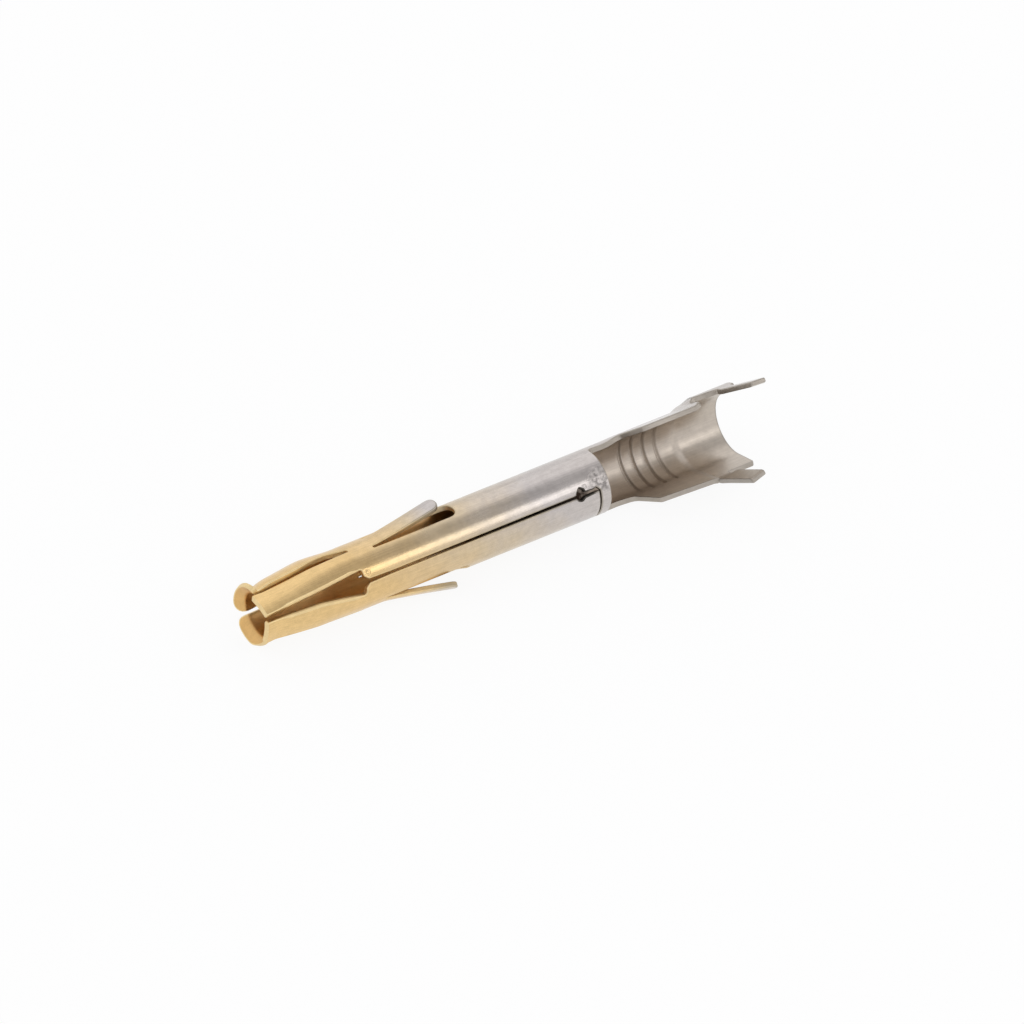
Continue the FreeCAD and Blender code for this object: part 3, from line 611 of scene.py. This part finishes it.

# The outside gives the eye a satin sheen with fine lines along the strip. Where the tool
# struck the seam's end it is rougher and dented, with painted shade and highlight mottling
# the dents. The sheared rims are duller and grainy, and a painted shade makes them nearly
# black in the seam's relief. The bore is a warm gold at the mouth, and a painted shade
# darkens it inside the tube's rear. Lines, grain and stains are some ten times coarser
# than real, or the picture's dots would lose them.
for finish, stops, dip_slant, smoothest, roughest, line_depth, grain_depth, rough_and_painted_shade_at, painted_shading_range in (
    ("drawn_gold_to_tin_plating", outer_stops, 0.056, 0.18, 0.28, 0.0012, 0.0014,
     strike_at, (-0.5, 0.12)),
    ("plating_on_sheared_edge", edge_stops, 0.056, 0.34, 0.5, 0.0, 0.003,
     relief_at, (-0.85, -0.7)),
    ("bore_plating_with_painted_shade", bore_stops_with_painted_shade, 0.0, 0.31, 0.43, 0.0012, 0.0026,
     relief_at, (0.0, 0.0)),
):
    plating = bpy.data.materials.new(finish)
    plating.use_nodes = True
    plating.node_tree.nodes.clear()
    place = add_node(plating, "ShaderNodeTexCoord")

    # The fade: it wanders a little, and comes earlier where the sheet stands far out from
    # the axis, on the lances' tips
    slant = add_node(
        plating, "ShaderNodeVectorMath",
        {0: (place, "Object"), 1: [fade_rate / MM, 0.0, dip_slant / MM]},
        operation="DOT_PRODUCT",
    )
    blotches = add_node(
        plating, "ShaderNodeTexNoise",
        {"Vector": (place, "Object"), "Scale": blotch_rate / MM, "Detail": 4.0, "Roughness": 0.6},
    )
    wander = add_node(
        plating, "ShaderNodeMath",
        {0: (blotches, "Fac"), 1: fade_wander, 2: -fade_wander / 2}, operation="MULTIPLY_ADD",
    )
    from_axis = add_node(
        plating, "ShaderNodeVectorMath", {0: (place, "Object"), 1: [0.0, 1.0, 1.0]},
        operation="MULTIPLY",
    )
    standing_out = add_node(
        plating, "ShaderNodeVectorMath", {0: (from_axis, "Vector")}, operation="LENGTH",
    )
    early_fade_far_out = add_node(
        plating, "ShaderNodeMapRange",
        {"Value": (standing_out, "Value"), "From Min": 1.4 * MM, "From Max": 1.8 * MM,
         "To Min": 0.0, "To Max": 0.24},
    )
    wandered = add_node(plating, "ShaderNodeMath", {0: (slant, "Value"), 1: (wander, "Value")})
    fade_place = add_node(
        plating, "ShaderNodeMath", {0: (wandered, "Value"), 1: (early_fade_far_out, "Result")},
    )
    fade = add_node(plating, "ShaderNodeValToRGB", {"Fac": (fade_place, "Value")})
    steps = fade.color_ramp.elements
    while len(steps) < len(stops):
        steps.new(0.5)
    for step, (position, colour) in zip(steps, stops):
        step.position = position
        step.color = linear(colour)

    # Drawn lines, grain and stains, the dents that the tool left, and painted shade: mottled
    # with some painted highlight on the dents, and nearly black in the seam's relief
    stretched = add_node(
        plating, "ShaderNodeVectorMath",
        {0: (place, "Object"), 1: [line_stretch / MM, line_rate / MM, line_rate / MM]},
        operation="MULTIPLY",
    )
    lines = add_node(
        plating, "ShaderNodeTexNoise",
        {"Vector": (stretched, "Vector"), "Scale": 1.0, "Detail": 3.0, "Roughness": 0.55},
    )
    grain = add_node(
        plating, "ShaderNodeTexNoise",
        {"Vector": (place, "Object"), "Scale": grain_rate / MM, "Detail": 2.0},
    )
    line_shade = add_node(
        plating, "ShaderNodeMapRange",
        {"Value": (lines, "Fac"), "From Min": 0.3, "From Max": 0.7, "To Min": 0.92, "To Max": 1.04},
    )
    stains = add_node(
        plating, "ShaderNodeTexNoise",
        {"Vector": (place, "Object"), "Scale": stain_rate / MM, "Detail": 5.0, "Roughness": 0.65},
    )
    stain_shade = add_node(
        plating, "ShaderNodeMapRange",
        {"Value": (stains, "Fac"), "From Min": 0.32, "From Max": 0.62,
         "To Min": 0.9, "To Max": 1.02},
    )
    away = add_node(
        plating, "ShaderNodeVectorMath", {0: (place, "Object"), 1: rough_and_painted_shade_at}, operation="DISTANCE",
    )
    dents_and_painted_shade_mask = add_node(
        plating, "ShaderNodeMapRange",
        {"Value": (away, "Value"), "From Min": 0.3 * MM, "From Max": 0.6 * MM,
         "To Min": 1.0, "To Max": 0.0},
        interpolation_type="SMOOTHSTEP",
    )
    dents = add_node(
        plating, "ShaderNodeTexNoise",
        {"Vector": (place, "Object"), "Scale": dent_rate / MM, "Detail": 3.0, "Roughness": 0.6},
    )
    dented = add_node(
        plating, "ShaderNodeMath", {0: (dents, "Fac"), 1: (dents_and_painted_shade_mask, "Result")},
        operation="MULTIPLY",
    )
    # Painted shade and highlight: near the given place the colour is darkened, or a little
    # lightened, in the pattern of the dents
    painted_shading = add_node(
        plating, "ShaderNodeMapRange",
        {"Value": (dents, "Fac"), "From Min": 0.36, "From Max": 0.62,
         "To Min": painted_shading_range[0], "To Max": painted_shading_range[1]},
    )
    painted_shading_factor = add_node(
        plating, "ShaderNodeMath",
        {0: (dents_and_painted_shade_mask, "Result"), 1: (painted_shading, "Result"), 2: 1.0}, operation="MULTIPLY_ADD",
    )
    mottled = add_node(
        plating, "ShaderNodeMath", {0: (line_shade, "Result"), 1: (stain_shade, "Result")},
        operation="MULTIPLY",
    )
    stains_and_painted_shading = add_node(
        plating, "ShaderNodeMath", {0: (mottled, "Value"), 1: (painted_shading_factor, "Value")},
        operation="MULTIPLY",
    )
    shaded = add_node(
        plating, "ShaderNodeVectorMath", {0: (fade, "Color"), "Scale": (stains_and_painted_shading, "Value")},
        operation="SCALE",
    )

    # Gloss that changes with the blotches, and the relief of lines, grain and dents
    dullness = add_node(
        plating, "ShaderNodeMapRange",
        {"Value": (blotches, "Fac"), "From Min": 0.3, "From Max": 0.7,
         "To Min": smoothest, "To Max": roughest},
    )
    rougher = add_node(
        plating, "ShaderNodeMath",
        {0: (dents_and_painted_shade_mask, "Result"), 1: 0.16, 2: (dullness, "Result")}, operation="MULTIPLY_ADD",
    )
    line_bump = add_node(
        plating, "ShaderNodeBump",
        {"Height": (lines, "Fac"), "Strength": 1.0, "Distance": line_depth * MM},
    )
    grain_bump = add_node(
        plating, "ShaderNodeBump",
        {"Height": (grain, "Fac"), "Strength": 1.0, "Distance": grain_depth * MM,
         "Normal": (line_bump, "Normal")},
    )
    dent_bump = add_node(
        plating, "ShaderNodeBump",
        {"Height": (dented, "Value"), "Strength": 1.0, "Distance": 0.03 * MM,
         "Normal": (grain_bump, "Normal")},
    )
    surface = add_node(
        plating, "ShaderNodeBsdfPrincipled",
        {"Base Color": (shaded, "Vector"), "Metallic": 1.0, "Roughness": (rougher, "Value"),
         "Normal": (dent_bump, "Normal")},
    )
    add_node(plating, "ShaderNodeOutputMaterial", {"Surface": (surface, "BSDF")})
    contact_mesh.materials.append(plating)
outer_finish, edge_finish, bore_finish = 0, 1, 2
net_faces = len(triangles)
contact_mesh.polygons.foreach_set(
    "material_index",
    [outer_finish] * net_faces + [bore_finish] * net_faces + [edge_finish] * len(rim_faces),
)

# Floor: a wide sheet of white paper that the contact lies on, far past the picture's
# edges. The camera and the metal see it nearly white, and it keeps the contact's shadow.
floor_size, floor_whitening = 0.6, 0.9
floor_material = bpy.data.materials.new("white_sweep_paper")
floor_material.use_nodes = True
floor_material.node_tree.nodes.clear()
paper = add_node(
    floor_material, "ShaderNodeBsdfPrincipled",
    {"Base Color": linear("#FAFAFA"), "Roughness": 0.9},
)
white = add_node(
    floor_material, "ShaderNodeEmission", {"Color": linear("#FFFFFF"), "Strength": 1.0},
)
ray = add_node(floor_material, "ShaderNodeLightPath")
seen = add_node(
    floor_material, "ShaderNodeMath", {0: (ray, "Is Camera Ray"), 1: (ray, "Is Glossy Ray")},
)
seen = add_node(
    floor_material, "ShaderNodeMath", {0: (seen, "Value"), 1: (ray, "Is Transmission Ray")},
)
whitening = add_node(
    floor_material, "ShaderNodeMath", {0: (seen, "Value"), 1: floor_whitening},
    operation="MULTIPLY",
)
sheet = add_node(
    floor_material, "ShaderNodeMixShader",
    {0: (whitening, "Value"), 1: (paper, "BSDF"), 2: (white, "Emission")},
)
add_node(floor_material, "ShaderNodeOutputMaterial", {"Surface": (sheet, "Shader")})
floor_mesh = bpy.data.meshes.new("floor")
floor_mesh.from_pydata(
    [(x * floor_size, y * floor_size, cad_box[0][2])
     for x, y in ((-1, -1), (1, -1), (1, 1), (-1, 1))],
    [], [(0, 1, 2, 3)],
)
floor_mesh.materials.append(floor_material)
floor = bpy.data.objects.new("floor", floor_mesh)
bpy.context.collection.objects.link(floor)

# Light: an even white room with a soft grey card overhead, which the tube mirrors as its
# darker band. A wide lamp behind the contact lights its far side, and a strip lamp that
# lies along the tube gives the bright line above the seam.
card_direction, card_strength, lamp_distance = [0.35, -0.25, 0.9], 0.6, 0.3
world = bpy.data.worlds.new("studio")
bpy.context.scene.world = world
world.use_nodes = True
room = world.node_tree.nodes["Background"]
room.inputs["Color"].default_value = linear("#FBFBFD")
upward = add_node(world, "ShaderNodeTexCoord")
facing_card = add_node(
    world, "ShaderNodeVectorMath", {0: (upward, "Generated"), 1: card_direction},
    operation="DOT_PRODUCT",
)
ceiling = add_node(
    world, "ShaderNodeMapRange",
    {"Value": (facing_card, "Value"), "From Min": 0.72, "From Max": 0.96,
     "To Min": 1.0, "To Max": card_strength},
    interpolation_type="SMOOTHSTEP",
)
world.node_tree.links.new(ceiling.outputs["Result"], room.inputs["Strength"])
for lamp_name, direction, width, length, watts in (
    ("rear_lamp", Vector((0.35, 0.75, 0.62)), 0.25, 0.25, 0.03),
    ("strip_lamp", Vector((0.454, -0.531, 0.715)), 0.095, 0.2, 0.075),
):
    lamp_data = bpy.data.lights.new(lamp_name, "AREA")
    lamp_data.shape = "RECTANGLE"
    lamp_data.size = width
    lamp_data.size_y = length
    lamp_data.energy = watts
    lamp = bpy.data.objects.new(lamp_name, lamp_data)
    bpy.context.collection.objects.link(lamp)
    facing = direction.normalized()
    lamp.location = axis * 10.0 * MM + facing * lamp_distance
    hang = lamp.matrix_world.to_3x3()
    hang.col[1] = (axis - facing * facing.dot(axis)).normalized()
    hang.col[0], hang.col[2] = hang.col[1].cross(facing), facing
    lamp.rotation_euler = hang.to_euler()

bpy.context.scene.view_settings.view_transform = "Standard"
